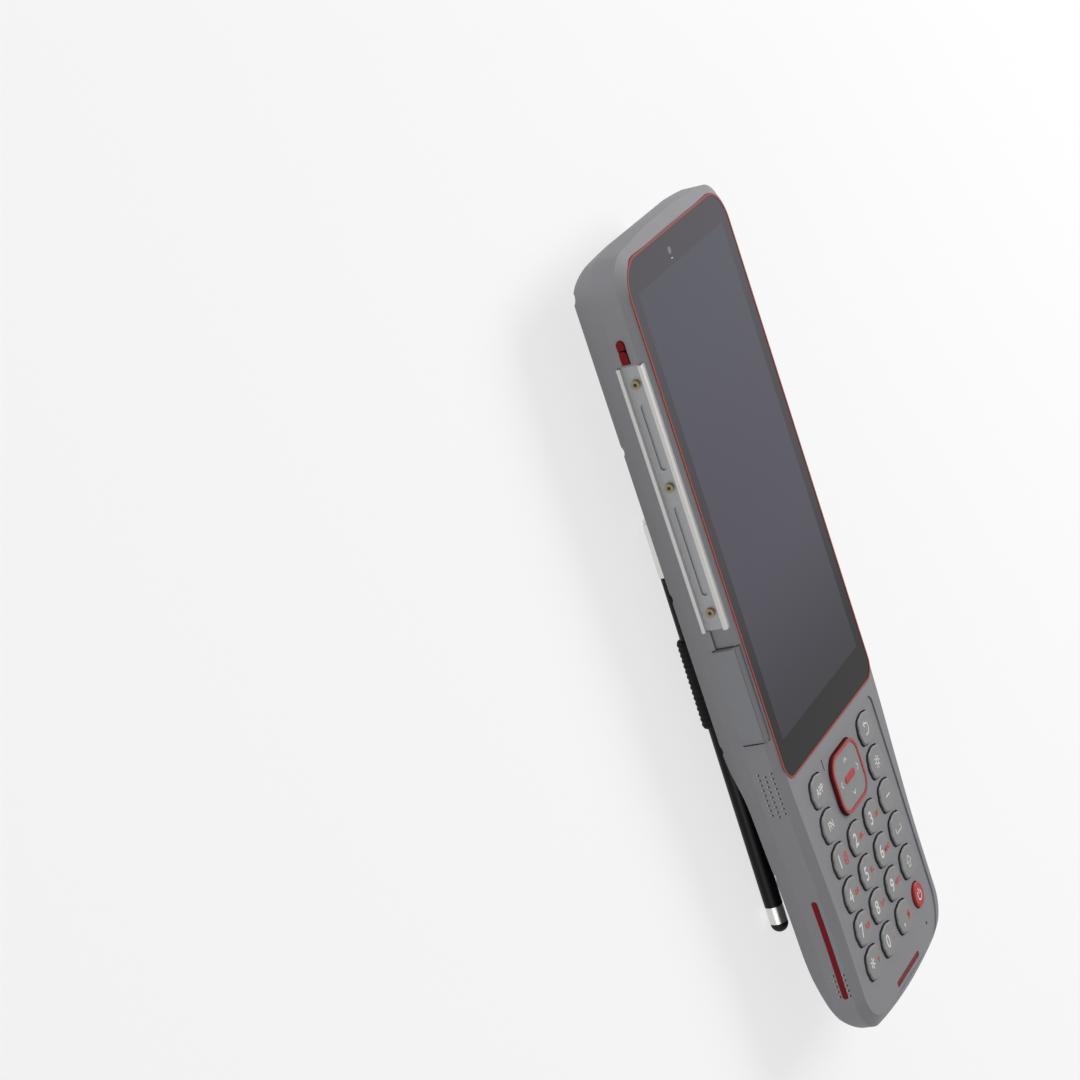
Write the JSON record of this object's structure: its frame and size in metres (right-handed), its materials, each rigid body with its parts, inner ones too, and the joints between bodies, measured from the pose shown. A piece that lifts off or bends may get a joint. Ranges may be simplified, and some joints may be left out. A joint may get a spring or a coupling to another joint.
{
  "type": "data collector",
  "caption": "Handheld data collector: tall touch screen over a numeric keypad with a five-way key, side accessory rail, covered port, hand strap and stylus.",
  "frame": {"origin": "on the resting face of the strap pad, under the middle of the housing", "axes": "+X to the right of the screen, +Y towards the screen end, +Z out of the screen"},
  "size_m": [0.0798, 0.227, 0.0268],
  "materials": {
    "shell_grey": "fine moulded texture",
    "cover_grey": "soft-touch, moulded",
    "seal_black": "matte",
    "screw_steel": "zinc plated",
    "screen_glass": "polished, coated",
    "display_dark": "smooth, unlit",
    "trim_red": "smooth",
    "camera_black": "smooth",
    "key_grey": "satin",
    "power_red": "smooth",
    "inlay_red": "smooth",
    "rail_aluminium": "bead blasted, anodised",
    "rail_brass": "machined",
    "silicone": "matte",
    "board_green": "solder mask",
    "battery_wrap": "film wrapped",
    "bezel_dark": "anodised",
    "strap_black": "woven, padded",
    "stylus_black": "satin",
    "stylus_silver": "satin plated",
    "tip_rubber": "smooth"
  },
  "bodies": {
    "housing": {"front_housing": "shell_grey", "rear_housing": "shell_grey", "strap_anchor_upper": "shell_grey", "strap_anchor_lower": "shell_grey", "housing_seal": "seal_black", "housing_screws": "screw_steel", "small_screws": "screw_steel", "cover_hinge_pin": "screw_steel", "usb_socket": "screw_steel", "cover_glass": "screen_glass", "rear_flash": "screen_glass", "display_panel": "display_dark", "screen_trim": "trim_red", "front_camera": "camera_black", "rear_camera": "camera_black", "side_stripe": "inlay_red", "front_bar": "inlay_red", "accessory_rail": "rail_aluminium", "rail_screws": "rail_brass", "keypad_membrane": "silicone", "main_board": "board_green", "battery_pack": "battery_wrap", "speaker": "battery_wrap", "rear_camera_bezel": "bezel_dark", "hand_strap_pad": "strap_black", "strap_webbing_upper": "strap_black", "strap_webbing_lower": "strap_black", "stylus_loop": "strap_black"},
    "key_app": {"key_app": "key_grey"},
    "key_fn": {"key_fn": "key_grey"},
    "key_1": {"key_1": "key_grey"},
    "key_4": {"key_4": "key_grey"},
    "key_7": {"key_7": "key_grey"},
    "key_star": {"key_star": "key_grey"},
    "key_2": {"key_2": "key_grey"},
    "key_5": {"key_5": "key_grey"},
    "key_8": {"key_8": "key_grey"},
    "key_0": {"key_0": "key_grey"},
    "key_3": {"key_3": "key_grey"},
    "key_6": {"key_6": "key_grey"},
    "key_9": {"key_9": "key_grey"},
    "key_dot": {"key_dot": "key_grey"},
    "key_back": {"key_back": "key_grey"},
    "key_menu": {"key_menu": "key_grey"},
    "key_minus": {"key_minus": "key_grey"},
    "key_space": {"key_space": "key_grey"},
    "key_hash": {"key_hash": "key_grey"},
    "key_power": {"key_power": "power_red"},
    "nav_press": {"nav_plunger": "silicone"},
    "nav_rock_x": {"nav_pivot_ball": "silicone"},
    "nav_rock_y": {"nav_plate": "key_grey", "nav_ring": "trim_red"},
    "side_key_upper": {"side_key_upper": "inlay_red"},
    "side_key_lower": {"side_key_lower": "inlay_red"},
    "port_cover": {"port_cover": "cover_grey"},
    "stylus": {"stylus_cap": "stylus_silver", "stylus_barrel": "stylus_black", "stylus_collar": "stylus_silver", "stylus_tip": "tip_rubber", "stylus_clip": "stylus_silver"}
  },
  "joints": [
    {"name": "key_app_press", "type": "slide", "parent": "housing", "child": "key_app", "axis": [0, 0, -1], "range_m": [0, 0.0006], "stiffness_N_per_m": 400},
    {"name": "key_fn_press", "type": "slide", "parent": "housing", "child": "key_fn", "axis": [0, 0, -1], "range_m": [0, 0.0006], "stiffness_N_per_m": 400},
    {"name": "key_1_press", "type": "slide", "parent": "housing", "child": "key_1", "axis": [0, 0, -1], "range_m": [0, 0.0006], "stiffness_N_per_m": 400},
    {"name": "key_4_press", "type": "slide", "parent": "housing", "child": "key_4", "axis": [0, 0, -1], "range_m": [0, 0.0006], "stiffness_N_per_m": 400},
    {"name": "key_7_press", "type": "slide", "parent": "housing", "child": "key_7", "axis": [0, 0, -1], "range_m": [0, 0.0006], "stiffness_N_per_m": 400},
    {"name": "key_star_press", "type": "slide", "parent": "housing", "child": "key_star", "axis": [0, 0, -1], "range_m": [0, 0.0006], "stiffness_N_per_m": 400},
    {"name": "key_2_press", "type": "slide", "parent": "housing", "child": "key_2", "axis": [0, 0, -1], "range_m": [0, 0.0006], "stiffness_N_per_m": 400},
    {"name": "key_5_press", "type": "slide", "parent": "housing", "child": "key_5", "axis": [0, 0, -1], "range_m": [0, 0.0006], "stiffness_N_per_m": 400},
    {"name": "key_8_press", "type": "slide", "parent": "housing", "child": "key_8", "axis": [0, 0, -1], "range_m": [0, 0.0006], "stiffness_N_per_m": 400},
    {"name": "key_0_press", "type": "slide", "parent": "housing", "child": "key_0", "axis": [0, 0, -1], "range_m": [0, 0.0006], "stiffness_N_per_m": 400},
    {"name": "key_3_press", "type": "slide", "parent": "housing", "child": "key_3", "axis": [0, 0, -1], "range_m": [0, 0.0006], "stiffness_N_per_m": 400},
    {"name": "key_6_press", "type": "slide", "parent": "housing", "child": "key_6", "axis": [0, 0, -1], "range_m": [0, 0.0006], "stiffness_N_per_m": 400},
    {"name": "key_9_press", "type": "slide", "parent": "housing", "child": "key_9", "axis": [0, 0, -1], "range_m": [0, 0.0006], "stiffness_N_per_m": 400},
    {"name": "key_dot_press", "type": "slide", "parent": "housing", "child": "key_dot", "axis": [0, 0, -1], "range_m": [0, 0.0006], "stiffness_N_per_m": 400},
    {"name": "key_back_press", "type": "slide", "parent": "housing", "child": "key_back", "axis": [0, 0, -1], "range_m": [0, 0.0006], "stiffness_N_per_m": 400},
    {"name": "key_menu_press", "type": "slide", "parent": "housing", "child": "key_menu", "axis": [0, 0, -1], "range_m": [0, 0.0006], "stiffness_N_per_m": 400},
    {"name": "key_minus_press", "type": "slide", "parent": "housing", "child": "key_minus", "axis": [0, 0, -1], "range_m": [0, 0.0006], "stiffness_N_per_m": 400},
    {"name": "key_space_press", "type": "slide", "parent": "housing", "child": "key_space", "axis": [0, 0, -1], "range_m": [0, 0.0006], "stiffness_N_per_m": 400},
    {"name": "key_hash_press", "type": "slide", "parent": "housing", "child": "key_hash", "axis": [0, 0, -1], "range_m": [0, 0.0006], "stiffness_N_per_m": 400},
    {"name": "key_power_press", "type": "slide", "parent": "housing", "child": "key_power", "axis": [0, 0, -1], "range_m": [0, 0.0006], "stiffness_N_per_m": 400},
    {"name": "nav_press", "type": "slide", "parent": "housing", "child": "nav_press", "axis": [0, 0, -1], "range_m": [0, 0.0003], "stiffness_N_per_m": 900},
    {"name": "nav_rock_up_down", "type": "hinge", "parent": "nav_press", "child": "nav_rock_x", "pos_m": [0, -0.04961, 0.0231], "axis": [1, 0, 0], "range_deg": [-1.5, 1.5], "stiffness_Nm_per_rad": 0.3},
    {"name": "nav_rock_left_right", "type": "hinge", "parent": "nav_rock_x", "child": "nav_rock_y", "pos_m": [0, -0.04961, 0.0231], "axis": [0, 1, 0], "range_deg": [-1.5, 1.5], "stiffness_Nm_per_rad": 0.3},
    {"name": "side_key_upper_press", "type": "slide", "parent": "housing", "child": "side_key_upper", "axis": [1, 0, 0], "range_m": [0, 0.0004], "stiffness_N_per_m": 500},
    {"name": "side_key_lower_press", "type": "slide", "parent": "housing", "child": "side_key_lower", "axis": [1, 0, 0], "range_m": [0, 0.0004], "stiffness_N_per_m": 500},
    {"name": "port_cover_hinge", "type": "hinge", "parent": "housing", "child": "port_cover", "pos_m": [-0.0389, -0.0197, 0.02195], "axis": [0, 0, 1], "range_deg": [0, 90]},
    {"name": "stylus_slide", "type": "slide", "parent": "housing", "child": "stylus", "axis": [0, 0.9999, 0.0131], "range_m": [0, 0.06]}
  ]
}
